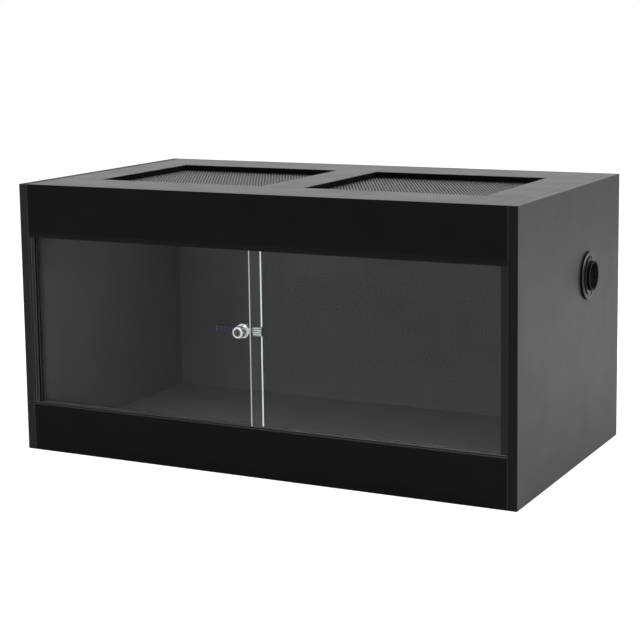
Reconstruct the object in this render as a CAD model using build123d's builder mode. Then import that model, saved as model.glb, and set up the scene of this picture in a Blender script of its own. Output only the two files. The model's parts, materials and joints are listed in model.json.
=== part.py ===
from build123d import *
import os

# A reptile enclosure: a cabinet of melamine-faced boards with two sliding glass doors, a
# ratchet lock on their overlap, two screened windows in the top and a cable port in the side.
# All lengths are in millimetres. The origin is the middle of the underside, +X points to the
# right as one faces the doors, +Y to the back and +Z up.

# The cabinet and its boards
cabinet_width = 900
cabinet_depth = 500
cabinet_height = 462
board_thickness = 16
board_arris = 0.6
lower_fascia_height = 80
upper_fascia_height = 80

# The frame of the top: two rails that span between the sides, three stiles between the rails
rail_width = 94
stile_width = 78

# The screens of the two windows, let into a rebate under the frame of the top
screen_recess = 10
screen_thickness = 1.2
screen_lap = 14
rebate_play = 0.5
screen_bar = 14
screen_gaps_across = 9
screen_gaps_deep = 8
screen_screw_radius = 1.5
screen_screw_length = 8
screen_screw_head_radius = 3.3
screen_screw_head_height = 1.8

# The runners that the doors slide in
track_setback = 0.5
track_wall = 1.4
track_floor = 1.2
track_lip = 0.3
bottom_track_height = 5
top_track_height = 11
side_channel_depth = 11

# The doors
glass_thickness = 4
glass_play = 0.4
glass_arris = 0.5
glass_ride = 0.3
glass_end_gap = 0.8
glass_hold = 5
door_overlap = 18
overlap_offset = 3

# The lock: a toothed bar hooked round the edge of one door, and a housing that runs along it
lock_height = 240
lock_play = 0.5
lock_edge_gap = 0.3
lock_base_radius = 12
lock_base_depth = 10.5
lock_barrel_radius = 9.5
lock_face_reach = 16
lock_barrel_bevel = 1
lock_base_bevel = 1.2
lock_slot_wall = 0.9
plug_radius = 6
plug_clearance = 0.06
plug_length = 14
plug_recess = 0.4
plug_end_gap = 0.4
plug_arris = 0.5
keyway_width = 1.8
keyway_height = 7.5
keyway_ward = 1.1
keyway_ward_height = 2.5
keyway_depth = 9
bar_height = 9.5
bar_thickness = 1.6
bar_play = 0.2
bar_length = 83
bar_plain_end = 4
bar_tooth_pitch = 2.5
bar_tooth_depth = 0.5
bar_toothed_length = 60
jaw_height = 15
jaw_length = 14
jaw_grip = 0.3
jaw_thickness = 1.8
jaw_return = 12
jaw_round = 1.2

# The cable port in the right side
port_back_distance = 170
port_height = 310
port_bore_radius = 22
port_tube_wall = 2.5
port_tube_play = 0.5
port_flange_radius = 40
port_flange_thickness = 4.2
port_step_radius = 32
port_step_height = 6
port_collar_wall = 2.7
port_collar_height = 10.5
port_edge_bevel = 1
port_ring_radius = 36
port_ring_thickness = 3
port_tube_reach = 1
port_screw_circle_radius = 28.5
port_screw_radius = 1.6
port_screw_head_radius = 2.9
port_screw_head_depth = 1.8
port_screw_head_taper = 40
port_screw_recess = 0.3
port_screw_tip_gap = 0.5

# The fittings inside the boards: cams, the bolts that they draw in, and fluted dowels
cam_setback = 24
cam_radius = 7.4
cam_depth = 12.5
cam_recess = 0.2
cam_play = 0.1
cam_slot_width = 1.6
cam_slot_length = 9
cam_slot_depth = 2
bolt_thread_length = 10.5
bolt_radius = 2.6
bolt_head_radius = 3.3
bolt_head_length = 4
bolt_play = 0.1
bolt_hole_radius = 4
dowel_radius = 4
dowel_length = 30
dowel_in_face = 10
dowel_flutes = 8
cam_flat_count = 12
fitting_play = 0.05
fitting_end_gap = 0.5

# How far the bolts and dowels lie to either side of the middle of a board's end
floor_bolt_offset = 170
back_bolt_offset = 165
floor_dowel_offset = 110
back_dowel_offset = 105
fascia_dowel_offset = 22
rail_dowel_offset = 28

# Worked out from the sizes above
half_inner = cabinet_width / 2 - board_thickness
front = -cabinet_depth / 2
back = cabinet_depth / 2
behind_fascia = front + board_thickness
before_back = back - board_thickness
under_top = cabinet_height - board_thickness
door_sill = lower_fascia_height
door_head = cabinet_height - upper_fascia_height
rail_inner = before_back - rail_width
window_width = half_inner - stile_width - stile_width / 2
window_depth = 2 * rail_inner
window_centre = (stile_width + window_width) / 2
screen_top = cabinet_height - screen_recess
screen_screw_y = (window_depth + screen_lap) / 2
rebate_width = window_width + 2 * (screen_lap + rebate_play)
rebate_length = window_depth + 2 * (screen_lap + rebate_play)
track_width = board_thickness - track_setback
slot_width = glass_thickness + 2 * glass_play
rear_lane = behind_fascia - track_wall - slot_width / 2
front_lane = front + track_setback + track_wall + slot_width / 2
half_board = board_thickness / 2

UP = (0, 0, 1)
DOWN = (0, 0, -1)
BACKWARD = (0, 1, 0)
FORWARD = (0, -1, 0)
OUTWARD = (1, 0, 0)

os.makedirs("parts", exist_ok=True)


def save(piece, name):
    """Label a finished piece and write it out under its own name."""
    piece.part.label = name
    export_step(piece.part, f"parts/{name}.step")


def facing_front(y):
    """The upright plane at depth y, seen from the front."""
    return Plane.XZ.offset(-y)


def block(low, high, arris):
    """A rectangular blank between two corners, with its arrises taken off."""
    with BuildSketch(Plane.XY.offset(low[2])) as outline:
        with Locations(((low[0] + high[0]) / 2, (low[1] + high[1]) / 2)):
            Rectangle(high[0] - low[0], high[1] - low[1])
    blank = extrude(outline.sketch, amount=high[2] - low[2])
    chamfer(blank.edges(), arris)


def peg_holes(mouths, radius, depth, flats=dowel_flutes):
    """Blind holes for the fittings, which are many and small, so they are drawn with flats.

    Each goes in against the direction that its mouth's plane looks.
    """
    with BuildSketch(*mouths) as holes:
        RegularPolygon(radius, flats)
    extrude(holes.sketch, amount=-depth, mode=Mode.SUBTRACT)


def turned(planes):
    """The same places looking the other way."""
    return [-plane for plane in planes]


def end_planes(places, sides=(-1, 1)):
    """Planes on the side panels' inner faces at each (y, z), looking into the cabinet."""
    return [
        Plane(origin=(side * half_inner, y, z), x_dir=UP, z_dir=(-side, 0, 0))
        for side in sides
        for y, z in places
    ]


def cam_seats(places, outward):
    """Planes on the board faces where the cams of the bolts at each (y, z) are let in."""
    return [
        Plane(
            origin=Vector(side * (half_inner - cam_setback), y, z) + Vector(outward) * half_board,
            x_dir=(side, 0, 0),
            z_dir=outward,
        )
        for side in (-1, 1)
        for y, z in places
    ]


# The middles of the ends of the boards that span between the sides: (y, z)
top_middle = cabinet_height - half_board
rail_middle = before_back - rail_width / 2
floor_end = (0, half_board)
back_end = (back - half_board, cabinet_height / 2)
lower_end = (front + half_board, door_sill / 2)
upper_end = (front + half_board, (door_head + cabinet_height) / 2)
front_rail_end = (-rail_middle, top_middle)
rear_rail_end = (rail_middle, top_middle)


def pair_along_depth(end, offset):
    return [(end[0] + side * offset, end[1]) for side in (-1, 1)]


def pair_along_height(end, offset):
    return [(end[0], end[1] + side * offset) for side in (-1, 1)]


floor_pegs = pair_along_depth(floor_end, floor_dowel_offset)
back_pegs = pair_along_height(back_end, back_dowel_offset)
lower_pegs = pair_along_height(lower_end, fascia_dowel_offset)
upper_pegs = pair_along_height(upper_end, fascia_dowel_offset)
front_rail_pegs = pair_along_depth(front_rail_end, rail_dowel_offset)
rear_rail_pegs = pair_along_depth(rear_rail_end, rail_dowel_offset)
floor_bolts = pair_along_depth(floor_end, floor_bolt_offset)
back_bolts = pair_along_height(back_end, back_bolt_offset)
all_bolts = floor_bolts + back_bolts + [lower_end, upper_end]
all_pegs = floor_pegs + back_pegs + lower_pegs + upper_pegs + front_rail_pegs + rear_rail_pegs

stile_centres = {
    "left_stile": -half_inner + stile_width / 2,
    "centre_stile": 0,
    "right_stile": half_inner - stile_width / 2,
}


def stile_ends(centres):
    """Planes on the rails' inner edges where the dowels of the stiles go in."""
    return [
        Plane(origin=(x, -side * rail_inner, top_middle), x_dir=UP, z_dir=(0, side, 0))
        for side in (-1, 1)
        for x in centres
    ]


all_stile_ends = stile_ends(stile_centres.values())

# The screws of the screens, at the corners of the lap
screen_screw_places = [
    (side * window_centre + column * (window_width + screen_lap) / 2, row * screen_screw_y)
    for side in (-1, 1)
    for column in (-1, 1)
    for row in (-1, 1)
]


def drill_dowel_faces(joints):
    peg_holes(joints, dowel_radius + fitting_play, dowel_in_face + fitting_end_gap)


def drill_dowel_ends(joints):
    depth = dowel_length - dowel_in_face + fitting_end_gap
    peg_holes(turned(joints), dowel_radius + fitting_play, depth)


def fit_cams(bolts, outward):
    """The bolt holes in both ends of a board, and the pockets of their cams."""
    peg_holes(turned(end_planes(bolts)), bolt_hole_radius, cam_setback)
    pocket_depth = cam_depth + cam_recess + cam_play
    peg_holes(cam_seats(bolts, outward), cam_radius + cam_play, pocket_depth, cam_flat_count)


def rebate_screens():
    """Cut the step that the screens are let into, which runs round both windows."""
    with BuildSketch(Plane.XY.offset(under_top)) as steps:
        with Locations((-window_centre, 0), (window_centre, 0)):
            Rectangle(rebate_width, rebate_length)
    extrude(steps.sketch, amount=screen_top - under_top, mode=Mode.SUBTRACT)


def drill_screen_screws(row):
    """The pilot holes that the screen screws of one rail go up into, from the rebate."""
    mouths = [Plane(origin=(x, y, screen_top), z_dir=DOWN) for x, y in screen_screw_places if y * row > 0]
    depth = screen_screw_length - screen_thickness + fitting_end_gap
    peg_holes(mouths, screen_screw_radius + fitting_play, depth)


def side_panel(side):
    """One side panel with the holes of its fittings, which all open on its inner face."""
    inner = side * half_inner
    outer = side * cabinet_width / 2
    block((min(inner, outer), front, 0), (max(inner, outer), back, cabinet_height), board_arris)
    bolt_depth = bolt_thread_length + fitting_end_gap
    peg_holes(end_planes(all_bolts, (side,)), bolt_radius + fitting_play, bolt_depth)
    drill_dowel_faces(end_planes(all_pegs, (side,)))


# The cable port's axis: out through the right side panel
port_axis_y = back - port_back_distance
port_mouth = Plane(origin=(cabinet_width / 2, port_axis_y, port_height), x_dir=FORWARD, z_dir=OUTWARD)
port_tube_radius = port_bore_radius + port_tube_wall
port_screw_turn = 90

with BuildPart() as left_side_panel:
    side_panel(-1)
save(left_side_panel, "left_side_panel")

with BuildPart() as right_side_panel:
    side_panel(1)
    with Locations(port_mouth):
        Hole(port_tube_radius + port_tube_play, board_thickness)
        with PolarLocations(port_screw_circle_radius, 2, port_screw_turn):
            Hole(port_screw_radius + fitting_play, board_thickness)
save(right_side_panel, "right_side_panel")

with BuildPart() as floor_panel:
    block((-half_inner, behind_fascia, 0), (half_inner, before_back, board_thickness), board_arris)
    fit_cams(floor_bolts, DOWN)
    drill_dowel_ends(end_planes(floor_pegs))
save(floor_panel, "floor_panel")

with BuildPart() as back_panel:
    block((-half_inner, before_back, 0), (half_inner, back, cabinet_height), board_arris)
    fit_cams(back_bolts, BACKWARD)
    drill_dowel_ends(end_planes(back_pegs))
save(back_panel, "back_panel")

with BuildPart() as lower_fascia:
    block((-half_inner, front, 0), (half_inner, behind_fascia, door_sill), board_arris)
    fit_cams([lower_end], BACKWARD)
    drill_dowel_ends(end_planes(lower_pegs))
save(lower_fascia, "lower_fascia")

with BuildPart() as upper_fascia:
    block((-half_inner, front, door_head), (half_inner, behind_fascia, cabinet_height), board_arris)
    fit_cams([upper_end], BACKWARD)
    drill_dowel_ends(end_planes(upper_pegs))
save(upper_fascia, "upper_fascia")

with BuildPart() as top_front_rail:
    block((-half_inner, behind_fascia, under_top), (half_inner, -rail_inner, cabinet_height), board_arris)
    drill_dowel_ends(end_planes(front_rail_pegs))
    drill_dowel_faces([joint for joint in all_stile_ends if joint.origin.Y < 0])
    rebate_screens()
    drill_screen_screws(-1)
save(top_front_rail, "top_front_rail")

with BuildPart() as top_rear_rail:
    block((-half_inner, rail_inner, under_top), (half_inner, before_back, cabinet_height), board_arris)
    drill_dowel_ends(end_planes(rear_rail_pegs))
    drill_dowel_faces([joint for joint in all_stile_ends if joint.origin.Y > 0])
    rebate_screens()
    drill_screen_screws(1)
save(top_rear_rail, "top_rear_rail")

for stile_name, stile_x in stile_centres.items():
    with BuildPart() as stile:
        block(
            (stile_x - stile_width / 2, -rail_inner, under_top),
            (stile_x + stile_width / 2, rail_inner, cabinet_height),
            board_arris,
        )
        drill_dowel_ends(stile_ends([stile_x]))
        rebate_screens()
    save(stile, stile_name)

# Each screen is one sheet that laps the frame all round, with a grid of gaps as wide as its
# window. The grid is coarser than the real mesh: it leaves over a third of the window open, and
# the mesh nearly half.
for screen_name, side in (("left_vent_screen", -1), ("right_vent_screen", 1)):
    with BuildPart() as screen:
        with BuildSketch(Plane.XY.offset(screen_top - screen_thickness)):
            with Locations((side * window_centre, 0)):
                Rectangle(window_width + 2 * screen_lap, window_depth + 2 * screen_lap)
                gap_step_x = window_width / screen_gaps_across
                gap_step_y = window_depth / screen_gaps_deep
                with GridLocations(gap_step_x, gap_step_y, screen_gaps_across, screen_gaps_deep):
                    Rectangle(gap_step_x - screen_bar, gap_step_y - screen_bar, mode=Mode.SUBTRACT)
            with Locations(*[place for place in screen_screw_places if place[0] * side > 0]):
                RegularPolygon(screen_screw_radius + fitting_play, dowel_flutes, mode=Mode.SUBTRACT)
        extrude(amount=screen_thickness)
    save(screen, screen_name)

# The screws of the screens go up into the frame, their pan heads below the sheet
screw_seat = Plane.XY.offset(screen_top - screen_thickness)
with BuildPart() as vent_screws:
    with BuildSketch(screw_seat):
        with Locations(*screen_screw_places):
            RegularPolygon(screen_screw_radius, dowel_flutes)
    extrude(amount=screen_screw_length)
    with BuildSketch(screw_seat):
        with Locations(*screen_screw_places):
            RegularPolygon(screen_screw_head_radius, cam_flat_count)
    extrude(amount=-screen_screw_head_height)
save(vent_screws, "vent_screws")


def runner(start, depth, length):
    """A double runner drawn on start and pushed along it: a floor with three walls."""
    with BuildSketch(start) as section:
        with Locations((track_width / 2, depth / 2)):
            Rectangle(track_width, depth)
        for lane in (behind_fascia - rear_lane, behind_fascia - front_lane):
            with Locations((lane, track_floor)):
                Rectangle(
                    slot_width,
                    depth - track_floor,
                    align=(Align.CENTER, Align.MIN),
                    mode=Mode.SUBTRACT,
                )
        chamfer(section.vertices().group_by(Axis.Y)[-1], track_lip)
    extrude(section.sketch, amount=length)


channel_foot = door_sill + bottom_track_height
channel_head = door_head - top_track_height
channel_length = channel_head - channel_foot

with BuildPart() as bottom_door_track:
    runner(
        Plane(origin=(half_inner, behind_fascia, door_sill), x_dir=FORWARD, z_dir=(-1, 0, 0)),
        bottom_track_height,
        2 * half_inner,
    )
save(bottom_door_track, "bottom_door_track")

with BuildPart() as top_door_track:
    runner(
        Plane(origin=(-half_inner, behind_fascia, door_head), x_dir=FORWARD, z_dir=OUTWARD),
        top_track_height,
        2 * half_inner,
    )
save(top_door_track, "top_door_track")

with BuildPart() as left_side_channel:
    runner(
        Plane(origin=(-half_inner, behind_fascia, channel_foot), x_dir=FORWARD, z_dir=UP),
        side_channel_depth,
        channel_length,
    )
save(left_side_channel, "left_side_channel")

with BuildPart() as right_side_channel:
    runner(
        Plane(origin=(half_inner, behind_fascia, channel_head), x_dir=FORWARD, z_dir=DOWN),
        side_channel_depth,
        channel_length,
    )
save(right_side_channel, "right_side_channel")

# The panes stand on the bottom runner's floor, reach a little way into the top runner, so
# that they can be lifted out, and run into the side channels
pane_foot = door_sill + track_floor + glass_ride
pane_head = channel_head + glass_hold
pane_end = half_inner - track_floor - glass_end_gap
left_pane_edge = overlap_offset + door_overlap / 2
right_pane_edge = overlap_offset - door_overlap / 2


def pane(left, right, lane):
    block(
        (left, lane - glass_thickness / 2, pane_foot),
        (right, lane + glass_thickness / 2, pane_head),
        glass_arris,
    )


with BuildPart() as left_glass_door:
    pane(-pane_end, left_pane_edge, rear_lane)
save(left_glass_door, "left_glass_door")

with BuildPart() as right_glass_door:
    pane(right_pane_edge, pane_end, front_lane)
save(right_glass_door, "right_glass_door")

# The depths of the lock's layers, from the rear pane's front face forwards
rear_pane_front = rear_lane - glass_thickness / 2
rear_pane_back = rear_lane + glass_thickness / 2
lock_back = rear_pane_front - lock_play
slot_back = lock_back - lock_slot_wall
bar_back = slot_back - bar_play
bar_front = bar_back - bar_thickness
slot_front = bar_front - bar_play
lock_face = front - lock_face_reach
lock_x = right_pane_edge - lock_edge_gap - lock_base_radius

# The bar is drawn from above. Its front is cut with saw teeth that the housing can climb
# from the free end but not leave again, and its jaw bends round the edge of the pane.
bar_free_end = left_pane_edge - bar_length
jaw_start = left_pane_edge - jaw_length
jaw_inner = left_pane_edge + jaw_grip
jaw_outer = jaw_inner + jaw_thickness
jaw_front_inner = rear_pane_front - jaw_grip
jaw_back_inner = rear_pane_back + jaw_grip
jaw_back = jaw_back_inner + jaw_thickness
tooth_count = int(bar_toothed_length / bar_tooth_pitch)
teeth_start = bar_free_end + bar_plain_end

with BuildPart() as ratchet_bar:
    with BuildSketch(Plane.XY.offset(lock_height)):
        with BuildLine():
            outline = [(jaw_start, bar_back), (bar_free_end, bar_back), (bar_free_end, bar_front)]
            for i in range(tooth_count):
                tooth_x = teeth_start + i * bar_tooth_pitch
                outline.append((tooth_x, bar_front))
                outline.append((tooth_x, bar_front + bar_tooth_depth))
            outline.append((teeth_start + tooth_count * bar_tooth_pitch, bar_front))
            outline.append((jaw_start, bar_front))
            Polyline(*outline, close=True)
        make_face()
    extrude(amount=bar_height / 2, both=True)
    with BuildSketch(Plane.XY.offset(lock_height)) as jaw:
        with BuildLine():
            Polyline(
                (jaw_start, bar_front),
                (jaw_start, jaw_front_inner),
                (jaw_inner, jaw_front_inner),
                (jaw_inner, jaw_back_inner),
                (left_pane_edge - jaw_return, jaw_back_inner),
                (left_pane_edge - jaw_return, jaw_back),
                (jaw_outer, jaw_back),
                (jaw_outer, bar_front),
                close=True,
            )
        make_face()
        fillet(jaw.vertices().group_by(Axis.X)[-1], jaw_round)
    extrude(amount=jaw_height / 2, both=True)
save(ratchet_bar, "ratchet_bar")

with BuildPart() as lock_body:
    with BuildSketch(facing_front(lock_back)):
        with Locations((lock_x, lock_height)):
            Circle(lock_base_radius)
    extrude(amount=lock_base_depth)
    chamfer(lock_body.faces().sort_by(Axis.Y)[0].edges(), lock_base_bevel)
    with BuildSketch(facing_front(lock_back - lock_base_depth)):
        with Locations((lock_x, lock_height)):
            Circle(lock_barrel_radius)
    extrude(amount=lock_back - lock_base_depth - lock_face)
    chamfer(lock_body.faces().sort_by(Axis.Y)[0].edges(), lock_barrel_bevel)
    with BuildSketch(Plane.YZ.offset(lock_x)):
        with Locations(((slot_back + slot_front) / 2, lock_height)):
            Rectangle(slot_back - slot_front, bar_height + 2 * bar_play)
    extrude(amount=lock_base_radius, both=True, mode=Mode.SUBTRACT)
    with Locations(Plane(origin=(lock_x, lock_face, lock_height), z_dir=FORWARD)):
        Hole(plug_radius + plug_clearance, plug_recess + plug_length + plug_end_gap)
save(lock_body, "lock_body")

with BuildPart() as lock_plug:
    with BuildSketch(facing_front(lock_face + plug_recess + plug_length)):
        with Locations((lock_x, lock_height)):
            Circle(plug_radius)
    extrude(amount=plug_length)
    chamfer(lock_plug.faces().sort_by(Axis.Y)[0].edges(), plug_arris)
    with BuildSketch(facing_front(lock_face + plug_recess)):
        with Locations((lock_x, lock_height)):
            Rectangle(keyway_width, keyway_height)
        with Locations((lock_x - keyway_width / 2, lock_height)):
            Rectangle(keyway_ward, keyway_ward_height, mode=Mode.SUBTRACT)
    extrude(amount=-keyway_depth, mode=Mode.SUBTRACT)
save(lock_plug, "lock_plug")

# The port's halves are turned about its axis: x is the reach out of the side panel, y the radius
port_profile = Plane(origin=port_mouth.origin, x_dir=OUTWARD, z_dir=FORWARD)
port_axis = Axis(port_mouth.origin, OUTWARD)
port_tube_end = -board_thickness - port_ring_thickness - port_tube_reach
port_collar_radius = port_bore_radius + port_collar_wall
port_screw_seat = port_step_height - port_screw_recess
port_screw_tip = -board_thickness - port_ring_thickness + port_screw_tip_gap

with BuildPart() as port_flange:
    with BuildSketch(port_profile) as flange_section:
        with BuildLine():
            Polyline(
                (port_tube_end, port_bore_radius),
                (port_tube_end, port_tube_radius),
                (0, port_tube_radius),
                (0, port_flange_radius),
                (port_flange_thickness, port_flange_radius),
                (port_flange_thickness, port_step_radius),
                (port_step_height, port_step_radius),
                (port_step_height, port_collar_radius),
                (port_collar_height, port_collar_radius),
                (port_collar_height, port_bore_radius),
                close=True,
            )
        make_face()
        chamfer(flange_section.vertices().group_by(Axis.Y)[-1].sort_by(Axis.X)[-1], port_edge_bevel)
    revolve(axis=port_axis)
    with Locations(port_mouth.offset(port_screw_seat)):
        with PolarLocations(port_screw_circle_radius, 2, port_screw_turn):
            CounterSinkHole(port_screw_radius + fitting_play, port_screw_head_radius + fitting_play)
save(port_flange, "port_flange")

with BuildPart() as port_inner_ring:
    with BuildSketch(port_profile):
        with Locations((-board_thickness, port_tube_radius + fitting_play)):
            Rectangle(
                port_ring_thickness,
                port_ring_radius - port_tube_radius - fitting_play,
                align=(Align.MAX, Align.MIN),
            )
    revolve(axis=port_axis)
    with Locations(port_mouth.offset(-board_thickness)):
        with PolarLocations(port_screw_circle_radius, 2, port_screw_turn):
            Hole(port_screw_radius + fitting_play, port_ring_thickness)
save(port_inner_ring, "port_inner_ring")

with BuildPart() as port_screws:
    with BuildSketch(port_mouth.offset(port_screw_tip)):
        with PolarLocations(port_screw_circle_radius, 2, port_screw_turn):
            Circle(port_screw_radius)
    extrude(amount=port_screw_seat - port_screw_tip)
    with BuildSketch(port_mouth.offset(port_screw_seat)):
        with PolarLocations(port_screw_circle_radius, 2, port_screw_turn):
            Circle(port_screw_head_radius)
    extrude(amount=-port_screw_head_depth, taper=port_screw_head_taper)
save(port_screws, "port_screws")

# A cam stands with its mouth towards the side panel, where the bolt's head comes in
mouth_width = 2 * (bolt_head_radius + bolt_play)
with BuildPart() as one_cam:
    with BuildSketch(Plane.XY.offset(-cam_recess - cam_depth)):
        RegularPolygon(cam_radius, cam_flat_count)
    extrude(amount=cam_depth)
    with BuildSketch(Plane.YZ):
        with Locations((0, -half_board)):
            Rectangle(mouth_width, mouth_width)
    extrude(amount=cam_radius, mode=Mode.SUBTRACT)
    with BuildSketch(Plane.XY.offset(-cam_recess)):
        Rectangle(cam_slot_length, cam_slot_width)
    extrude(amount=-cam_slot_depth, mode=Mode.SUBTRACT)

with BuildPart() as cam_locks:
    with Locations(*cam_seats(floor_bolts, DOWN)):
        add(one_cam.part)
    with Locations(*cam_seats(back_bolts + [lower_end, upper_end], BACKWARD)):
        add(one_cam.part)
save(cam_locks, "cam_locks")

# A bolt stands in the side panel by its thread, and its head lies in the mouth of the cam
bolt_tip = cam_setback - bolt_play
with BuildPart() as one_bolt:
    with BuildSketch(Plane.XY.offset(-bolt_thread_length)):
        RegularPolygon(bolt_radius, dowel_flutes)
    extrude(amount=bolt_thread_length + bolt_tip)
    with BuildSketch(Plane.XY.offset(bolt_tip)):
        RegularPolygon(bolt_head_radius, dowel_flutes)
    extrude(amount=-bolt_head_length)

with BuildPart() as cam_bolts:
    with Locations(*end_planes(all_bolts)):
        add(one_bolt.part)
save(cam_bolts, "cam_bolts")

# A dowel goes a third of its length into a face and the rest into the end of a board
with BuildPart() as wood_dowels:
    with BuildSketch(*[joint.offset(-dowel_in_face) for joint in end_planes(all_pegs) + all_stile_ends]):
        RegularPolygon(dowel_radius, dowel_flutes)
    extrude(amount=dowel_length)
save(wood_dowels, "wood_dowels")

# How far the doors can go: the left one until its jaw meets the right side channel, the
# right one until the lock housing that it pushes meets the left side channel
channel_lip = half_inner - side_channel_depth
print("left door travel", round(channel_lip - jaw_outer - lock_play, 2))
print("right door travel", round(channel_lip + lock_x - lock_base_radius - lock_play, 2))
print("lock axis", round(lock_x, 2), round(lock_face, 2), lock_height)
print("port axis", port_axis_y, port_height, "bore from", port_tube_end, "to", port_collar_height)
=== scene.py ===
# %% [markdown]
# # A board enclosure with sliding glass doors
#
# The real object is a cabinet of black melamine-faced board. Two panes of glass slide past
# each other in plastic runners, a chrome lock sits on their overlap, two windows in the top
# are closed with fine metal mesh, and a round plastic port lets cables out of the side.
# The boards, doors, lock and port come from the CAD model. This script gives each of them
# its finish, makes the mesh, the runners' rounded lips and the ribs on the lock's bar, which
# the CAD model draws only coarsely or not at all, and sets up the studio.

# %% Load the CAD model as a fixed frame
import bmesh
import bpy
import json
import math
from mathutils import Matrix, Vector


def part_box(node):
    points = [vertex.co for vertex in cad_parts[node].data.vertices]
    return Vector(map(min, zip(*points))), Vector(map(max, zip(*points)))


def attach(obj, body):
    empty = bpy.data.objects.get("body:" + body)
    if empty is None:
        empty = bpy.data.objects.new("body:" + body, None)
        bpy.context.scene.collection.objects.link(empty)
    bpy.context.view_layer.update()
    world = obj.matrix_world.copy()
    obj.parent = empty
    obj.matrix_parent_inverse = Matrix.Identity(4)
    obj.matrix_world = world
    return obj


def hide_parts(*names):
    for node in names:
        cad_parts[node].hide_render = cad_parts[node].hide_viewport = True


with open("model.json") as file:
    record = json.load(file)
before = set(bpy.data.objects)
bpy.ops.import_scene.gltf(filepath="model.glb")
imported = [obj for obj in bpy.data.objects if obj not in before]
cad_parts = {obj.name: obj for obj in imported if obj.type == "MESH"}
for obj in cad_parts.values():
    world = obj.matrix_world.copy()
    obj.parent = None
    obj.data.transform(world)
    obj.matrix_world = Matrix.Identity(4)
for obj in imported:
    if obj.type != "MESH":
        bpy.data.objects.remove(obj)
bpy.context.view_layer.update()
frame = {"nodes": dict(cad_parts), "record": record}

nodes = frame["nodes"]

# %% [markdown]
# ## Helpers
#
# Colours are written as the sRGB hex values that one would read off a swatch, and one
# function turns them to the linear values that a shader works in. A pattern's scale is the
# number of its repeats in a metre, so it is worked out from the real size of one repeat.
# Every material is a small tree of nodes, and one helper adds a node of any kind with its
# settings, its values and its links.

# %% Colour, scale and node helpers
MM = 0.001
# Nearly all values of Blender's noise lie between these two.
NOISE_LOW, NOISE_HIGH = 0.3, 0.7


def linear(hex_colour):
    """An sRGB hex colour as linear red, green, blue and an alpha of one."""
    channels = [int(hex_colour[i:i + 2], 16) / 255 for i in (1, 3, 5)]
    return [c / 12.92 if c <= 0.04045 else ((c + 0.055) / 1.055) ** 2.4 for c in channels] + [1]


def repeats(size_mm):
    """The scale at which one repeat of a pattern is size_mm across."""
    return 1 / (size_mm * MM)


def add_node(tree, kind, values=None, links=None, **settings):
    """Adds a node: settings are its properties, values fill its sockets, links feed them."""
    made = tree.nodes.new("ShaderNode" + kind)
    for name, setting in settings.items():
        setattr(made, name, setting)
    for socket, value in (values or {}).items():
        made.inputs[socket].default_value = value
    for socket, source in (links or {}).items():
        tree.links.new(source, made.inputs[socket])
    return made


def new_material(name):
    """An empty node material and its tree."""
    material = bpy.data.materials.new(name)
    material.use_nodes = True
    material.node_tree.nodes.clear()
    return material, material.node_tree


print("a 2 mm pattern repeats", repeats(2), "times a metre")

# %% [markdown]
# ## Meshes from points
#
# Every piece that is made here is a list of points and a list of faces that join them. It
# could also be a plain box that modifiers cut and round, but points that are worked out from
# real sizes stay exact. One function makes the object, and another gives a closed mesh smooth
# shading that stops at its sharp edges.


# %% Mesh helpers
def new_object(name, points, faces, *materials):
    """An object whose mesh has these points, faces and materials, linked to the scene."""
    mesh = bpy.data.meshes.new(name)
    mesh.from_pydata(points, [], faces)
    for material in materials:
        mesh.materials.append(material)
    made = bpy.data.objects.new(name, mesh)
    bpy.context.scene.collection.objects.link(made)
    return made


def smooth_closed(mesh, sharp_degrees):
    """Turns a closed mesh's faces outward and smooths it up to edges of that angle."""
    shell = bmesh.new()
    shell.from_mesh(mesh)
    bmesh.ops.recalc_face_normals(shell, faces=shell.faces)
    shell.to_mesh(mesh)
    shell.free()
    mesh.shade_smooth()
    mesh.set_sharp_from_angle(angle=math.radians(sharp_degrees))


print("mesh helpers work in metres, and a millimetre is", MM)

# %% [markdown]
# ## The boards
#
# The boards are chipboard faced with black melamine paper, pressed against a textured steel
# plate. That gives a very fine pebble that breaks the gloss, and a surface which is almost
# black seen square on and turns grey and shiny at a grazing angle. The pebble is about
# 0.3 mm on the real board and is drawn at 1.2 mm, because it is too fine to show. A second,
# slow noise shifts tone and gloss a little over a hand's width, as the press does.
# A photograph-like texture could do the same, but noise in object space needs no unwrapping and runs on
# over every board at its real scale. The faces that look into the cabinet are smoother, so they get no
# pebble, and they get a paler charcoal as painted light, for the light that reaches the inside.


# %% Melamine
RELIEF_DEPTH = 0.02 * MM
PEBBLE_MM = 1.2
CLOUD_MM = 60
CLOUD_SPREAD = 0.03


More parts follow.
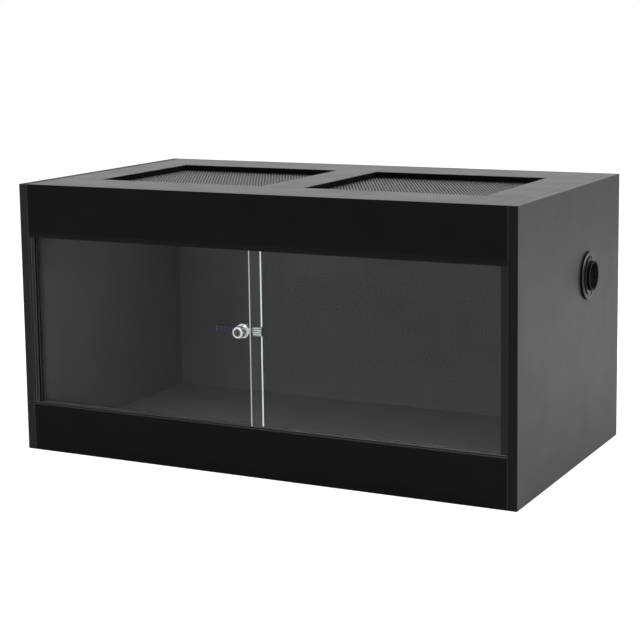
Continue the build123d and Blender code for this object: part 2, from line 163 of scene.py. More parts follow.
def melamine(name, pale, deep, gloss, roughness, pressed=0.06):
    """Melamine paper between two tones, with its gloss, roughness and depth of pebble."""
    material, tree = new_material(name)
    place = add_node(tree, "TexCoord").outputs["Object"]
    pebble = add_node(
        tree, "TexNoise", {"Scale": repeats(PEBBLE_MM), "Detail": 3}, {"Vector": place}
    ).outputs["Fac"]
    cloud = add_node(
        tree, "TexNoise", {"Scale": repeats(CLOUD_MM), "Detail": 3}, {"Vector": place}
    ).outputs["Fac"]
    tone = add_node(tree, "ValToRGB", links={"Fac": cloud})
    tone.color_ramp.elements[0].position = NOISE_LOW
    tone.color_ramp.elements[0].color = linear(deep)
    tone.color_ramp.elements[1].position = NOISE_HIGH
    tone.color_ramp.elements[1].color = linear(pale)
    sheen = add_node(
        tree,
        "MapRange",
        {
            "From Min": NOISE_LOW, "From Max": NOISE_HIGH,
            "To Min": roughness - CLOUD_SPREAD, "To Max": roughness + CLOUD_SPREAD,
        },
        {"Value": cloud},
    ).outputs["Result"]
    relief = add_node(
        tree, "Bump", {"Distance": RELIEF_DEPTH, "Strength": pressed}, {"Height": pebble}
    ).outputs["Normal"]
    board = add_node(
        tree,
        "BsdfPrincipled",
        {"IOR": 1.5, "Specular IOR Level": gloss},
        {"Base Color": tone.outputs["Color"], "Roughness": sheen, "Normal": relief},
    )
    add_node(tree, "OutputMaterial", links={"Surface": board.outputs["BSDF"]})
    return material


melamine_black = melamine("melamine_pressed_black", "#1c1c1d", "#181819", 0.32, 0.38)
# The fascias' fronts get a darker, duller copy of the melamine, a painted shade.
fascia_painted_shade = melamine("melamine_pressed_black_painted_shade", "#0b0b0c", "#09090a", 0.07, 0.42)
# The faces that look into the cabinet get paler charcoal copies of the melamine, a painted light.
inside_painted_light = melamine("melamine_smooth_inside_painted_light", "#636062", "#5d5a5c", 0.06, 0.5, 0.0)
wall_painted_light = melamine("melamine_smooth_wall_painted_light", "#605d5d", "#5a5757", 0.08, 0.5, 0.0)
print("melamine", [m.name for m in (melamine_black, fascia_painted_shade, inside_painted_light, wall_painted_light)])

# %% [markdown]
# ## Which face gets which finish
#
# A real board has more than one finish: its faces are melamine, and its visible edges are closed with a
# thin ABS band. Some faces get painted light and shade: the walls of the routed windows are near black, a
# painted shade; each front arris gets a paler line, a painted highlight; the fascias' fronts are a
# darker, duller copy of the melamine, a painted shade; and on the left side panel the front edge band is
# paler, a painted light, and its top duller, a painted shade. The CAD model has a face for each of these,
# so the faces are picked by the way they look and by where they lie. The model itself isn't changed: only
# the number of each face's material is.


# %% Dress and repaint
# A face looks along an axis if its normal's share of that axis is over FACING, and turns away
# from the axis if the share is under ASIDE. On a chamfer both shares are between CHAMFER's two.
FACING = 0.9
ASIDE = 0.5
CHAMFER = (0.6, 0.8)


def dress(names, *materials):
    """Gives CAD nodes their materials, the first one everywhere to begin with."""
    for name in names:
        slots = nodes[name].data.materials
        slots.clear()
        for material in materials:
            slots.append(material)
        for face in nodes[name].data.polygons:
            face.material_index = 0


def repaint(names, material, chosen):
    """Puts one of a node's materials on the faces that chosen(face) picks, and counts them."""
    count = 0
    for name in names:
        index = list(nodes[name].data.materials).index(material)
        for face in nodes[name].data.polygons:
            if chosen(face):
                face.material_index = index
                count += 1
    return count


SIDES = ["left_side_panel", "right_side_panel"]
FASCIAS = ["lower_fascia", "upper_fascia"]
TOP_FRAME = ["top_front_rail", "top_rear_rail", "left_stile", "centre_stile", "right_stile"]
print("boards with edges of their own", len(SIDES + FASCIAS + TOP_FRAME))

# %% Edge band, painted shade in the windows and painted highlights on the arrises
ARRIS_REACH = 2 * MM


def on_arris(face):
    """True of the chamfer between the front of a board and its side."""
    return CHAMFER[0] < -face.normal.y < CHAMFER[1] and abs(face.normal.x) > CHAMFER[0]


edge_band = melamine("edge_band_abs_black", "#101011", "#0e0e0f", 0.1, 0.36)
# The left side panel's front edge band is paler than the right one's, a painted light.
edge_band_painted_light = melamine("edge_band_abs_painted_light", "#1b1b1c", "#181819", 0.16, 0.36)
# The left side panel's top gets a duller copy of the band, a painted shade.
edge_band_painted_shade = melamine("edge_band_abs_painted_shade", "#101011", "#0e0e0f", 0.08, 0.5)
# The walls of the windows in the top get near black, a painted shade.
recess_painted_shade = melamine("board_recess_painted_shade", "#080808", "#050505", 0.04, 0.9)
# Each front arris gets a paler line, a painted highlight.
arris_painted_highlight = melamine("melamine_arris_painted_highlight", "#39393a", "#2d2d2e", 0.25, 0.4)

dress(["floor_panel", "back_panel"], melamine_black, inside_painted_light)
dress(["left_side_panel"], melamine_black, edge_band_painted_light, arris_painted_highlight, wall_painted_light, edge_band_painted_shade)
dress(["right_side_panel"], melamine_black, edge_band, arris_painted_highlight, wall_painted_light)
# The fascias' fronts get the darker, duller copy, a painted shade; their tops get the plain melamine.
dress(FASCIAS, fascia_painted_shade, melamine_black, arris_painted_highlight, inside_painted_light)
dress(TOP_FRAME, melamine_black, recess_painted_shade, inside_painted_light)
opening_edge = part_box("floor_panel")[1].x + ARRIS_REACH
# The left front edge gets the paler band, a painted light.
banded = repaint(["left_side_panel"], edge_band_painted_light, lambda face: face.normal.y < -FACING)
banded += repaint(["right_side_panel"], edge_band, lambda face: face.normal.y < -FACING)
# The left side panel's top gets the duller band, a painted shade.
banded += repaint(["left_side_panel"], edge_band_painted_shade, lambda face: face.normal.z > FACING)
topped = repaint(FASCIAS, melamine_black, lambda face: face.normal.z > FACING)
# The upright faces of the top frame, the walls of the windows, get the near black, a painted shade.
recess_faces = repaint(TOP_FRAME, recess_painted_shade, lambda face: abs(face.normal.z) < ASIDE)
# The front arrises of the sides and fascias get the paler line, a painted highlight.
highlighted_arrises = repaint(
    SIDES, arris_painted_highlight, lambda face: on_arris(face) and abs(face.center.x) < opening_edge
)
highlighted_arrises += repaint(FASCIAS, arris_painted_highlight, on_arris)
print("faces banded", banded, "topped", topped, "recess_faces", recess_faces, "arrises", highlighted_arrises)

# %% The faces that look into the cabinet
# These faces get the paler charcoal, a painted light for the light inside the cabinet.
inside = repaint(["floor_panel"], inside_painted_light, lambda face: face.normal.z > FACING)
inside += repaint(["back_panel"], inside_painted_light, lambda face: face.normal.y < -FACING)
inside += repaint(["left_side_panel"], wall_painted_light, lambda face: face.normal.x > FACING)
inside += repaint(["right_side_panel"], wall_painted_light, lambda face: face.normal.x < -FACING)
inside += repaint(FASCIAS, inside_painted_light, lambda face: face.normal.y > FACING)
inside += repaint(TOP_FRAME, inside_painted_light, lambda face: face.normal.z < -FACING)
print("inside faces", inside)

# %% [markdown]
# ## Black plastics
#
# The runners are extruded from PVC, which leaves long soft lines along each length and a
# satin skin. The port is moulded ABS, with an even pebble from the mould, a few tenths of a
# millimetre on the real port and drawn at 1.5 mm, because it is too fine to show. Both are
# black plastic with an IOR near 1.53, so one function makes them, and only the pattern
# differs: the noise is stretched along an extrusion and even on a moulding.


# %% Plastic
SKIN_SPREAD = 0.04
PVC_LINE_MM = 2
PVC_RELIEF = 0.02
DRAWN_OUT = 0.05


def black_plastic(name, colour, gloss, roughness, pebble_mm, stretch=(1, 1, 1), relief=0.15):
    """Black plastic whose pebble is pebble_mm across, divided by stretch along each axis."""
    material, tree = new_material(name)
    place = add_node(tree, "TexCoord").outputs["Object"]
    drawn = add_node(tree, "Mapping", {"Scale": stretch}, {"Vector": place}).outputs["Vector"]
    pebble = add_node(
        tree, "TexNoise", {"Scale": repeats(pebble_mm), "Detail": 2}, {"Vector": drawn}
    ).outputs["Fac"]
    sheen = add_node(
        tree,
        "MapRange",
        {
            "From Min": NOISE_LOW, "From Max": NOISE_HIGH,
            "To Min": roughness - SKIN_SPREAD, "To Max": roughness + SKIN_SPREAD,
        },
        {"Value": pebble},
    ).outputs["Result"]
    bump = add_node(
        tree, "Bump", {"Distance": RELIEF_DEPTH, "Strength": relief}, {"Height": pebble}
    ).outputs["Normal"]
    skin = add_node(
        tree,
        "BsdfPrincipled",
        {"Base Color": linear(colour), "IOR": 1.53, "Specular IOR Level": gloss},
        {"Roughness": sheen, "Normal": bump},
    )
    add_node(tree, "OutputMaterial", links={"Surface": skin.outputs["BSDF"]})
    return material


along_x, along_z = (DRAWN_OUT, 1, 1), (1, 1, DRAWN_OUT)
# The colour, gloss and roughness of each part of an extrusion, and the way it is drawn out. The sill and
# head skins are darker, duller copies of the channel's PVC, a painted shade, and the lips and beads are
# paler, a painted highlight.
EXTRUSION_SHADE_AND_HIGHLIGHT = {
    "sill": ("#0b0b0c", 0.03, 0.5, along_x),
    "head": ("#101011", 0.06, 0.35, along_x),
    "channel": ("#1c1c1d", 0.12, 0.3, along_z),
    "lip": ("#3c3c3e", 0.45, 0.25, along_x),
    "bead": ("#2f2f31", 0.25, 0.25, along_x),
    "channel_lip": ("#3a3a3c", 0.3, 0.25, along_z),
}
pvc = {
    part: black_plastic(
        f"pvc_black_shade_and_highlight_{part}", colour, gloss, roughness, PVC_LINE_MM, stretch, PVC_RELIEF
    )
    for part, (colour, gloss, roughness, stretch) in EXTRUSION_SHADE_AND_HIGHLIGHT.items()
}
print("plastics", [material.name for material in pvc.values()])

# %% [markdown]
# ## The runners
#
# A runner is one extrusion: a floor with three walls, and every wall ends in a rounded lip, so that the
# glass slides in without catching. The CAD model has the walls with only a small bevel. The rounded lips,
# and a low bead along the outer face, catch thin lines of light, so each runner is made again here as a
# section that is pushed along its length, inside the CAD runner's own box. The lips and the bead get a
# paler PVC, a painted highlight, most of all on the lower runner and the left channel, and the skins of
# the lower and upper runner are darker, duller copies, a painted shade.

# %% The section of a runner
# All in millimetres, apart from the number of steps.
THIN_WALL = 1.4
LANE = 4.8
FLOOR = 1.2
FACE_RECESS = 0.35
BEAD = 0.8
LIP_STEPS = 6
LOW_BEAD = 1.2
HIGH_BEAD = 4.5
SAME_POINT = 0.001


def rounded_lip(u0, u1, height, radius):
    """The points over the end of a wall from u0 to u1, with its two corners rounded."""
    points = []
    for centre, start in ((u0 + radius, 180), (u1 - radius, 90)):
        for step in range(LIP_STEPS + 1):
            angle = math.radians(start - 90 * step / LIP_STEPS)
            points.append((centre + radius * math.cos(angle), height - radius + radius * math.sin(angle)))
    return points


def bead(u, v):
    """The points down over a low half-round bead at height v on the outer face."""
    angles = [math.radians(90 - 180 * step / LIP_STEPS) for step in range(LIP_STEPS + 1)]
    return [(u + FACE_RECESS * math.cos(a), v + BEAD * math.sin(a)) for a in angles]


def runner_section(width, height, bead_height):
    """A double runner's outline from its rear to its front wall, in mm, with no point twice."""
    middle = (THIN_WALL + LANE, width - THIN_WALL - LANE)
    face = width - FACE_RECESS
    points = [(0, 0)]
    points += rounded_lip(0, THIN_WALL, height, THIN_WALL / 2)
    points += [(THIN_WALL, FLOOR), (middle[0], FLOOR)]
    points += rounded_lip(middle[0], middle[1], height, THIN_WALL / 2)
    points += [(middle[1], FLOOR), (width - THIN_WALL, FLOOR)]
    points += rounded_lip(width - THIN_WALL, width, height, THIN_WALL / 2)
    points += [(face, height - THIN_WALL)]
    points += bead(face, bead_height)
    points += [(face, 0)]
    return [point for i, point in enumerate(points) if math.dist(point, points[i - 1]) > SAME_POINT]


print("points on a lip", 2 * (LIP_STEPS + 1), "and on a bead", LIP_STEPS + 1)


# %% Push the sections along the runners
BEAD_MARGIN = 0.01
RUNNER_SHARP = 35


def extruded_runner(name, node, up, bead_height, *materials):
    """A runner in the box of its CAD node; up is the way its walls stand, and the materials
    are those of its skin, its lips and its bead."""
    low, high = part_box(node)
    axis = max(range(3), key=lambda i: (high - low)[i])
    rise = max(range(3), key=lambda i: abs(up[i]))
    width, height = (high.y - low.y) / MM, (high - low)[rise] / MM
    section = runner_section(width, height, bead_height)
    points, parts = [], []
    for end in (low[axis], high[axis]):
        for u, v in section:
            point = Vector((0, high.y - u * MM, 0))
            point[axis] = end
            point[rise] = low[rise] + v * MM if up[rise] > 0 else high[rise] - v * MM
            points.append(point)
    count = len(section)
    faces = [tuple(range(count)), tuple(range(2 * count - 1, count - 1, -1))]
    for i in range(count):
        j = (i + 1) % count
        faces.append((i, j, j + count, i + count))
        middle = (Vector(section[i]) + Vector(section[j])) / 2
        on_bead = middle.x > width - FACE_RECESS + BEAD_MARGIN
        parts.append(1 if middle.y > height - THIN_WALL / 2 else 2 if on_bead else 0)
    runner = new_object(name, points, faces, *materials)
    for face, part in zip(list(runner.data.polygons)[2:], parts):
        face.material_index = part
    smooth_closed(runner.data, RUNNER_SHARP)
    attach(runner, "cabinet")
    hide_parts(node)
    print(name, "faces", len(faces), "on the lips", parts.count(1), "on the bead", parts.count(2))


# The skin, lips and bead of each side channel; on the left channel the lips and bead get the paler PVC, a
# painted highlight.
LIT_CHANNEL = ("channel", "channel_lip", "channel_lip")
PLAIN_CHANNEL = ("channel", "channel", "channel")
# Each runner's name, its CAD node, the way its walls stand, its bead, and its three parts.
RUNNERS = [
    ("sill_runner", "bottom_door_track", (0, 0, 1), LOW_BEAD, ("sill", "lip", "bead")),
    ("head_runner", "top_door_track", (0, 0, -1), LOW_BEAD, ("head", "channel", "head")),
    ("left_channel_runner", "left_side_channel", (1, 0, 0), HIGH_BEAD, LIT_CHANNEL),
    ("right_channel_runner", "right_side_channel", (-1, 0, 0), HIGH_BEAD, PLAIN_CHANNEL),
]
for name, node, up, bead_height, parts in RUNNERS:
    extruded_runner(name, node, up, bead_height, *(pvc[part] for part in parts))

# %% [markdown]
# ## The cable port
#
# The port is moulded ABS, black, with a satin face. Its thick rim looks to the front and lies in shade,
# so the rim and the outermost face get a darker, duller copy of the face's material, a painted shade.

# %% Port finish
BORE_LIP = 1 * MM
RIM_DEPTH = 0.5 * MM
MOULD_PEBBLE_MM = 1.5
port_face = black_plastic("abs_moulded_black_face", "#171718", 0.36, 0.34, MOULD_PEBBLE_MM)
port_rim_painted_shade = black_plastic("abs_black_rim_painted_shade", "#080809", 0.05, 0.45, MOULD_PEBBLE_MM)
dress(["port_flange", "port_inner_ring"], port_face, port_rim_painted_shade)
port_low, port_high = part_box("port_flange")
port_middle = (port_low + port_high) / 2
port_mount = next(m for m in frame["record"]["mounts"] if m["name"] == "cable_port")
bore_radius = port_mount["dims"]["r_mm"] * MM


def off_axis(face):
    """How far a face's middle lies from the port's axis."""
    return math.hypot(face.center.y - port_middle.y, face.center.z - port_middle.z)


# The rim and the outermost face get the darker, duller copy, a painted shade.
shaded_rim_faces = repaint(
    ["port_flange"],
    port_rim_painted_shade,
    lambda face: abs(face.normal.x) < ASIDE and off_axis(face) > bore_radius + BORE_LIP,
)
shaded_rim_faces += repaint(["port_flange"], port_rim_painted_shade, lambda face: face.center.x > port_high.x - RIM_DEPTH)
print("rim faces", shaded_rim_faces, "bore", bore_radius)

# %% [markdown]
# ## The glass doors
#
# Each door is 4 mm float glass. Its faces are clear: almost all light goes through. Glass is a
# dielectric, so it needs transmission rather than a see-through alpha, which would lose the
# reflection. A pane in a white studio gives back a few hundredths of it, more than the real
# one does here, so the specular tint holds the reflection square on down to a part of that.
# The panes throw no shadow, so that the lamps light the inside through them as daylight does.
# The edges are ground on a belt, which leaves them matt, and the light that runs inside the pane comes
# out there. A renderer loses most of that light on its way, so the edge gets a faint painted glow, an
# emission though it is no lamp, and shows as a pale line with a little green of the iron in the glass.
# The left pane's free edge gets the brighter painted glow of the two.


# %% Float glass
def float_glass():
    """Clear glass whose faces reflect only a part of what bare glass would."""
    material, tree = new_material("glass_float_clear")
    clear = add_node(
        tree,
        "BsdfPrincipled",
        {
            "Base Color": linear("#fafcfb"), "Roughness": 0.0, "IOR": 1.5,
            "Specular Tint": (0.15, 0.15, 0.15, 1), "Transmission Weight": 1.0,
        },
    )
    add_node(tree, "OutputMaterial", links={"Surface": clear.outputs["BSDF"]})
    return material


# %% Ground edge
EDGE_STREAK_MM = 2.5
EDGE_ROUGHNESS = (0.3, 0.5)


def ground_edge_painted_glow(name, glow):
    """The matt edge of a pane; glow is the strength of its painted glow, an emission that stands for the
    light that comes out of it.
    """
    material, tree = new_material(name)
    place = add_node(tree, "TexCoord").outputs["Object"]
    streak = add_node(
        tree, "TexNoise", {"Scale": repeats(EDGE_STREAK_MM), "Detail": 2}, {"Vector": place}
    ).outputs["Fac"]
    tone = add_node(tree, "ValToRGB", links={"Fac": streak})
    tone.color_ramp.elements[0].position = NOISE_LOW
    tone.color_ramp.elements[0].color = linear("#dbe8e3")
    tone.color_ramp.elements[1].position = NOISE_HIGH
    tone.color_ramp.elements[1].color = linear("#f0f6f4")
    sheen = add_node(
        tree,
        "MapRange",
        {
            "From Min": NOISE_LOW, "From Max": NOISE_HIGH,
            "To Min": EDGE_ROUGHNESS[0], "To Max": EDGE_ROUGHNESS[1],
        },
        {"Value": streak},
    ).outputs["Result"]
    edge = add_node(
        tree,
        "BsdfPrincipled",
        {
            "IOR": 1.5, "Transmission Weight": 0.5,
            "Emission Color": linear("#ecf5f2"), "Emission Strength": glow,
        },
        {"Base Color": tone.outputs["Color"], "Roughness": sheen},
    )
    add_node(tree, "OutputMaterial", links={"Surface": edge.outputs["BSDF"]})
    return material


# Each pane's ground edge, by the name of its material and the strength of its painted glow.
EDGES = {
    "left_glass_door": ("glass_edge_painted_glow_bright", 0.65),
    "right_glass_door": ("glass_edge_painted_glow_dim", 0.25),
}
clear_glass = float_glass()
for pane, (edge_name, glow) in EDGES.items():
    glowing_edge = ground_edge_painted_glow(edge_name, glow)
    dress([pane], clear_glass, glowing_edge)
    count = repaint([pane], glowing_edge, lambda face: abs(face.normal.y) < FACING)
    nodes[pane].visible_shadow = False
    print(pane, "ground edge faces", count)

# %% [markdown]
# ## Metals
#
# The lock is die-cast zinc with a polished chrome plating, which shows the studio almost as a mirror. Its
# bar is a stamped strip with a dark nickel plating; it is paler on the jaw, and its top and bottom edges
# get the same paler colour as a painted highlight. Its plug is brass with a dull nickel plating, and in
# the keyway the brass lies bare in painted shade. The screws and bolts are zinc-plated steel, and the
# cams are bare die-cast zinc. A metal's look is its colour and its roughness, so one function makes them
# all, with a faint noise for polish and handling.
# Only the port's screws are blackened: an oxide coat is a dull dark skin over the steel, so
# it is made as the black plastics are, with a higher roughness and no gloss.


# %% Plated metals
WEAR_RELIEF = 0.1


def metal(name, colour, roughness, wear_mm, spread):
    """A metal of that colour; wear_mm is the size of the marks of polish and handling."""
    material, tree = new_material(name)
    place = add_node(tree, "TexCoord").outputs["Object"]
    wear = add_node(
        tree, "TexNoise", {"Scale": repeats(wear_mm), "Detail": 3}, {"Vector": place}
    ).outputs["Fac"]
    polish = add_node(
        tree,
        "MapRange",
        {
            "From Min": NOISE_LOW, "From Max": NOISE_HIGH,
            "To Min": roughness - spread, "To Max": roughness + spread,
        },
        {"Value": wear},
    ).outputs["Result"]
    relief = add_node(
        tree, "Bump", {"Distance": RELIEF_DEPTH, "Strength": WEAR_RELIEF}, {"Height": wear}
    ).outputs["Normal"]
    plate = add_node(
        tree,
        "BsdfPrincipled",
        {"Base Color": linear(colour), "Metallic": 1.0},
        {"Roughness": polish, "Normal": relief},
    )
    add_node(tree, "OutputMaterial", links={"Surface": plate.outputs["BSDF"]})
    return material


chrome = metal("chrome_polished", "#d4d5d8", 0.05, 4.0, 0.02)
strip = metal("steel_strip_black_nickel", "#4a4650", 0.25, 3.0, 0.05)
# The paler strip goes on the jaw and, as a painted highlight, on the bar's top and bottom edges.
strip_pale_and_highlight = metal("steel_strip_pale_and_painted_highlight", "#8a898c", 0.25, 3.0, 0.05)
cylinder = metal("brass_cylinder_nickel_plated", "#625e5b", 0.25, 2.0, 0.05)
zinc_plate = metal("zinc_plated_steel", "#b9bbbd", 0.3, 2.0, 0.06)
die_cast = metal("zinc_die_cast", "#a7a7a5", 0.45, 1.5, 0.08)
black_screw = black_plastic("steel_black_oxide_screw", "#030303", 0.0, 0.9, MOULD_PEBBLE_MM)
# The keyway's bare brass is darkened, a painted shade.
keyway_painted_shade = metal("brass_in_shade", "#2a2620", 0.6, 2.0, 0.05)

# %% Dress the metal pieces
KEYWAY_REACH = 0.8
KEYWAY_DEPTH = 2 * MM
JAW_START = 2 * MM
dress(["lock_body"], chrome)
dress(["lock_plug"], cylinder, keyway_painted_shade)
plug_low, plug_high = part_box("lock_plug")
plug_middle = (plug_low + plug_high) / 2
plug_radius = (plug_high.x - plug_low.x) / 2


def in_keyway(face):
    """True of the walls and the floor of the slot that the key goes into."""
    off = math.hypot(face.center.x - plug_middle.x, face.center.z - plug_middle.z)
    wall = abs(face.normal.y) < ASIDE and off < KEYWAY_REACH * plug_radius
    return wall or (face.normal.y < -FACING and face.center.y > plug_low.y + KEYWAY_DEPTH)


# The keyway's walls and floor get the dark brass, a painted shade.
keyed = repaint(["lock_plug"], keyway_painted_shade, in_keyway)
dress(["ratchet_bar"], strip, strip_pale_and_highlight)
jaw_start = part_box("lock_body")[1].x + JAW_START
jaw_faces = repaint(["ratchet_bar"], strip_pale_and_highlight, lambda face: face.center.x > jaw_start)
# The top and bottom edges get the paler strip, a painted highlight.
highlighted_edges = repaint(["ratchet_bar"], strip_pale_and_highlight, lambda face: abs(face.normal.z) > FACING)
dress(["cam_bolts", "vent_screws"], zinc_plate)
dress(["port_screws"], black_screw)
dress(["cam_locks"], die_cast)
print("keyway faces", keyed, "jaw faces", jaw_faces, "highlighted edges", highlighted_edges)

# %% [markdown]
# ## The ribs of the jaw
#
# The bar's jaw is folded round the edge of the glass, and low bright ribs run round it, which
# stiffen the thin strip. They are too fine for the CAD model, so each is swept here: a
# half-round section goes along the jaw's front, round its corner and along its side.

# %% Sweep the ribs
RIB_HEIGHT = 0.35 * MM
RIB_WIDTH = 0.9 * MM
RIB_PITCH = 3.4 * MM
RIB_COUNT = 4
RIB_SINK = 0.15 * MM
RIB_END = 1.0 * MM
JAW_REACH = 16.1 * MM
JAW_ROUND = 1.2 * MM
CORNER_STEPS = 6
SECTION_STEPS = 8
RIB_SHARP = 50


def jaw_path():
    """Points along the jaw's front, corner and side, each with the way out of the metal."""
    low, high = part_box("ratchet_bar")
    corner = Vector((high.x - JAW_ROUND, low.y + JAW_ROUND))
    path = [(Vector((high.x - JAW_REACH + RIB_END, low.y)), Vector((0, -1)))]
    for step in range(CORNER_STEPS + 1):
        angle = math.radians(-90 + 90 * step / CORNER_STEPS)
        out = Vector((math.cos(angle), math.sin(angle)))
        path.append((corner + out * JAW_ROUND, out))
    path.append((Vector((high.x, high.y - JAW_ROUND - RIB_END)), Vector((1, 0))))
    return path


def jaw_ribs():
    """Sweeps a half-round section along the path once for each rib."""
    low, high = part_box("ratchet_bar")
    path, points, faces = jaw_path(), [], []
    ring = SECTION_STEPS + 1
    for rib in range(RIB_COUNT):
        z = (low.z + high.z) / 2 + (rib - (RIB_COUNT - 1) / 2) * RIB_PITCH
        start = len(points)
        for place, out in path:
            for step in range(ring):
                angle = math.radians(-90 + 180 * step / SECTION_STEPS)
                spot = place + out * (RIB_HEIGHT * math.cos(angle) - RIB_SINK)
                points.append((spot.x, spot.y, z + RIB_WIDTH / 2 * math.sin(angle)))
        for i in range(len(path) - 1):
            for j in range(ring):
                a, b = start + i * ring + j, start + i * ring + (j + 1) % ring
                faces.append((a, b, b + ring, a + ring))
        last = start + (len(path) - 1) * ring
        faces += [tuple(range(start, start + ring)), tuple(range(last + ring - 1, last - 1, -1))]
    ribs = new_object("jaw_ribs", points, faces, chrome)
    smooth_closed(ribs.data, RIB_SHARP)
    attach(ribs, "left_door")
    print("jaw ribs", RIB_COUNT, "faces", len(faces))


jaw_ribs()

# %% [markdown]
# ## The dowels
#
# Hidden in the joints are pegs of turned beech, pale and slightly pink. Beech has short dark
# flecks of about a millimetre, which the noise draws at their real size.


# %% Beech
FLECK_MM = 1


def beech():
    """Pale turned wood with short dark flecks."""
    material, tree = new_material("beech_turned")
    place = add_node(tree, "TexCoord").outputs["Object"]
    fleck = add_node(
        tree, "TexNoise", {"Scale": repeats(FLECK_MM), "Detail": 4}, {"Vector": place}
    ).outputs["Fac"]
    tone = add_node(tree, "ValToRGB", links={"Fac": fleck})
    tone.color_ramp.elements[0].position = NOISE_LOW
    tone.color_ramp.elements[0].color = linear("#a87c50")
    tone.color_ramp.elements[1].position = NOISE_HIGH
    tone.color_ramp.elements[1].color = linear("#c79d70")
    wood = add_node(
        tree,
        "BsdfPrincipled",
        {"Roughness": 0.6, "IOR": 1.5},
        {"Base Color": tone.outputs["Color"]},
    )
    add_node(tree, "OutputMaterial", links={"Surface": wood.outputs["BSDF"]})
    return material


dress(["wood_dowels"], beech())
print("dowel faces", len(nodes["wood_dowels"].data.polygons))

# %% [markdown]
# ## The mesh screens
#
# Under each window lies a sheet of expanded steel mesh with a black coat: slit and pulled, so that its
# strands make lozenges about 6 mm wide and 11 mm deep. It could be a flat plane with a see-through
# pattern, but then nothing of it would be left in the exported shape. So each screen is made here from
# real strands: two layers of straight flat strands that cross, inside a plain rim where the sheet is cut.
# It stands for the coarse screen of the CAD model. The coat is thin and takes the shine of the steel, so
# it is made as a dull grey metal, much paler than a black coat, a painted sheen.

# %% One flat strand
LOZENGE_WIDTH = 5.8 * MM
LOZENGE_DEPTH = 10.8 * MM
STRAND = 1.5 * MM
RIM = 3.0 * MM
SLOPE = math.atan2(LOZENGE_DEPTH, LOZENGE_WIDTH)
PITCH = LOZENGE_WIDTH * math.sin(SLOPE)


def flat_bar(corners, low, high):
    """The vertices and faces of a flat bar over a four-cornered outline."""
    points = [(x, y, low) for x, y in corners] + [(x, y, high) for x, y in corners]
    faces = [(3, 2, 1, 0), (4, 5, 6, 7)]
    faces += [(i, (i + 1) % 4, (i + 1) % 4 + 4, i + 4) for i in range(4)]
    return points, faces


def strand_ends(centre, along, width, depth):
    """Where a line through centre leaves a rectangle about the origin, as two distances."""
    reach = [
        sorted(((-extent - centre[i]) / along[i], (extent - centre[i]) / along[i]))
        for i, extent in enumerate((width / 2, depth / 2))
    ]
    return max(r[0] for r in reach), min(r[1] for r in reach)


print("strands at", round(math.degrees(SLOPE), 1), "degrees, every", round(PITCH / MM, 2), "mm")


# %% Two sheets of strands
# The mesh is a grey metal, paler than its black coat, a painted sheen.
mesh_coat_painted_sheen = metal("steel_mesh_coat_painted_sheen", "#6c6c6e", 0.45, 1.0, 0.05)


def expanded_screen(name, node):
    """A sheet of crossing strands with a rim, in the box of its CAD node."""
    low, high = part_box(node)
    middle = (low + high) / 2
    width, depth = high.x - low.x - RIM, high.y - low.y - RIM
    points, faces = [], []

    def put(corners, bottom, top):
        new_points, new_faces = flat_bar(corners, bottom, top)
        start = len(points)
        points.extend(new_points)
        faces.extend(tuple(start + i for i in face) for face in new_faces)

    for sign, bottom, top in ((1, low.z, middle.z), (-1, middle.z, high.z)):
        along = Vector((math.cos(SLOPE), sign * math.sin(SLOPE)))
        across = Vector((-along.y, along.x))
        half = (abs(across.x) * width + abs(across.y) * depth) / 2
        count = int(2 * half / PITCH)
        for strand in range(count + 1):
            centre = across * ((strand - count / 2) * PITCH)
            begin, end = strand_ends(centre, along, width, depth)
            if end - begin < STRAND:
                continue
            first, last = centre + along * begin, centre + along * end
            aside = across * STRAND / 2
            corners = [first - aside, last - aside, last + aside, first + aside]
            put([(c.x + middle.x, c.y + middle.y) for c in corners], bottom, top)
    rim = [
        (low.x, low.y, high.x, low.y + RIM),
        (low.x, high.y - RIM, high.x, high.y),
        (low.x, low.y + RIM, low.x + RIM, high.y - RIM),
        (high.x - RIM, low.y + RIM, high.x, high.y - RIM),
    ]
    for x0, y0, x1, y1 in rim:
        put([(x0, y0), (x1, y0), (x1, y1), (x0, y1)], low.z, high.z)
    screen = new_object(name, points, faces, mesh_coat_painted_sheen)
    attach(screen, "cabinet")
    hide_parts(node)
    print(name, "strands and rim", len(faces) // 6)


for side in ("left", "right"):
    expanded_screen(f"{side}_fine_mesh", f"{side}_vent_screen")

# %% [markdown]
# ## The studio
#
# A plain pale floor keeps the object's shadow, and glows a little for the camera's rays alone,
# so that it renders nearly white. The world is white where the camera, the glass and the
# metal look at it, and gives a softer grey light to everything else, so that a colour renders
# about as it is written. Two soft boxes light the top, the front and the right side.

# %% Floor
FLOOR_SIZE = 60
FLOOR_DROP = 0.5 * MM
CAMERA_GLOW = 0.68


def pale_floor():
    """Matt pale paint that glows a little where the camera sees it."""
    material, tree = new_material("floor_pale")
    path = add_node(tree, "LightPath")
    paint = add_node(tree, "BsdfDiffuse", {"Color": linear("#e9e9e9")})
    share = add_node(
        tree, "MapRange", {"To Min": 0, "To Max": CAMERA_GLOW}, {"Value": path.outputs["Is Camera Ray"]}
    )
    glow = add_node(
        tree, "Emission", {"Color": (1, 1, 1, 1)}, {"Strength": share.outputs["Result"]}
    )
    both = add_node(
        tree, "AddShader", links={0: paint.outputs["BSDF"], 1: glow.outputs["Emission"]}
    )
    add_node(tree, "OutputMaterial", links={"Surface": both.outputs["Shader"]})
    return material


half_floor = FLOOR_SIZE / 2
floor_corners = [
    (x * half_floor, y * half_floor, -FLOOR_DROP) for x, y in ((-1, -1), (1, -1), (1, 1), (-1, 1))
]
floor = new_object("floor", floor_corners, [(0, 1, 2, 3)], pale_floor())
print("floor", FLOOR_SIZE, "m wide")

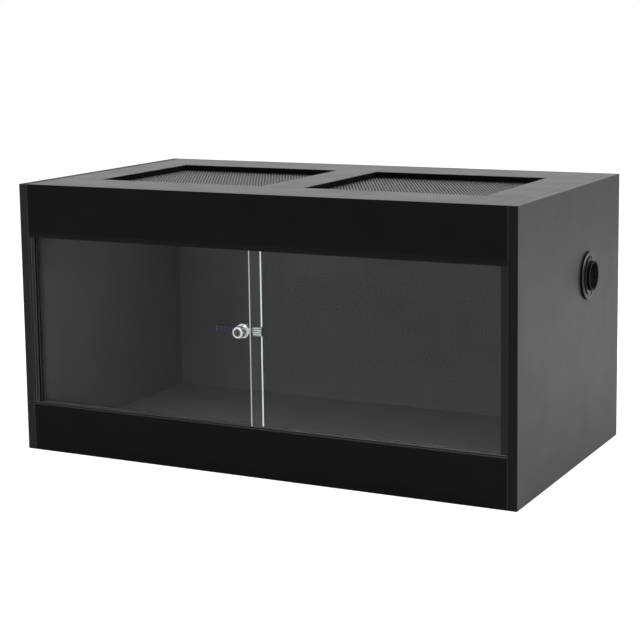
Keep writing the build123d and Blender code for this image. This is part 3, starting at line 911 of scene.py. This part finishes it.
# %% World
FILL_LIGHT = 0.45
world = bpy.data.worlds.new("studio")
bpy.context.scene.world = world
world.use_nodes = True
world_tree = world.node_tree
world_tree.nodes.clear()
rays = add_node(world_tree, "LightPath")
camera_or_gloss = add_node(
    world_tree,
    "Math",
    links={0: rays.outputs["Is Camera Ray"], 1: rays.outputs["Is Glossy Ray"]},
    operation="MAXIMUM",
)
seen = add_node(
    world_tree,
    "Math",
    links={0: camera_or_gloss.outputs[0], 1: rays.outputs["Is Transmission Ray"]},
    operation="MAXIMUM",
)
share = add_node(
    world_tree, "MapRange", {"To Min": FILL_LIGHT, "To Max": 1.0}, {"Value": seen.outputs[0]}
)
sky = add_node(
    world_tree, "Background", {"Color": (1, 1, 1, 1)}, {"Strength": share.outputs["Result"]}
)
add_node(world_tree, "OutputWorld", links={"Surface": sky.outputs["Background"]})
print("world nodes", len(world_tree.nodes))


# %% Lamps
def soft_box(name, place, target, size, power):
    """A square area lamp that looks at target."""
    lamp = bpy.data.lights.new(name, "AREA")
    lamp.shape = "SQUARE"
    lamp.size = size
    lamp.energy = power
    obj = bpy.data.objects.new(name, lamp)
    bpy.context.scene.collection.objects.link(obj)
    obj.location = place
    look = Vector(target) - Vector(place)
    obj.rotation_mode = "QUATERNION"
    obj.rotation_quaternion = look.to_track_quat("-Z", "Y")
    return obj


lamps = [
    soft_box("key_lamp", (-0.6, -2.6, 3.0), (0, 0, 0.2), 2.6, 75),
    soft_box("side_lamp", (3.2, 0.9, 1.9), (0.45, 0, 0.25), 2.6, 115),
]
print("lamps", [lamp.name for lamp in lamps])

# %% [markdown]
# ## The camera
#
# The camera stands where the photograph's stood: to the right of the doors and a little above
# the top. Part of its downward look is a shift of the picture and not a tilt, because the
# uprights of the photographed object stay nearly upright.

# %% Camera
AZIMUTH, ELEVATION, ROLL = (math.radians(angle) for angle in (27.072, 7.983, -0.766))
CAMERA_PLACE = (1.29768, -2.54588, 0.75673)
camera_data = bpy.data.cameras.new("camera")
camera_data.sensor_width = 36
camera_data.lens = 94.287
camera_data.shift_y = -0.125
camera = bpy.data.objects.new("camera", camera_data)
bpy.context.scene.collection.objects.link(camera)
backward = Vector((
    math.sin(AZIMUTH) * math.cos(ELEVATION),
    -math.cos(AZIMUTH) * math.cos(ELEVATION),
    math.sin(ELEVATION),
))
level_right = Vector((math.cos(AZIMUTH), math.sin(AZIMUTH), 0))
level_up = backward.cross(level_right)
right = level_right * math.cos(ROLL) + level_up * math.sin(ROLL)
up = backward.cross(right)
camera.matrix_world = Matrix.Translation(CAMERA_PLACE) @ Matrix(
    [[right[i], up[i], backward[i]] for i in range(3)]
).to_4x4()
bpy.context.scene.camera = camera
bpy.context.scene.view_settings.view_transform = "Standard"
print("camera", [round(v, 4) for v in camera.location], "lens", camera_data.lens)

# %% [markdown]
# ## The last lines
#

# %% Update the view layer
bpy.context.view_layer.update()
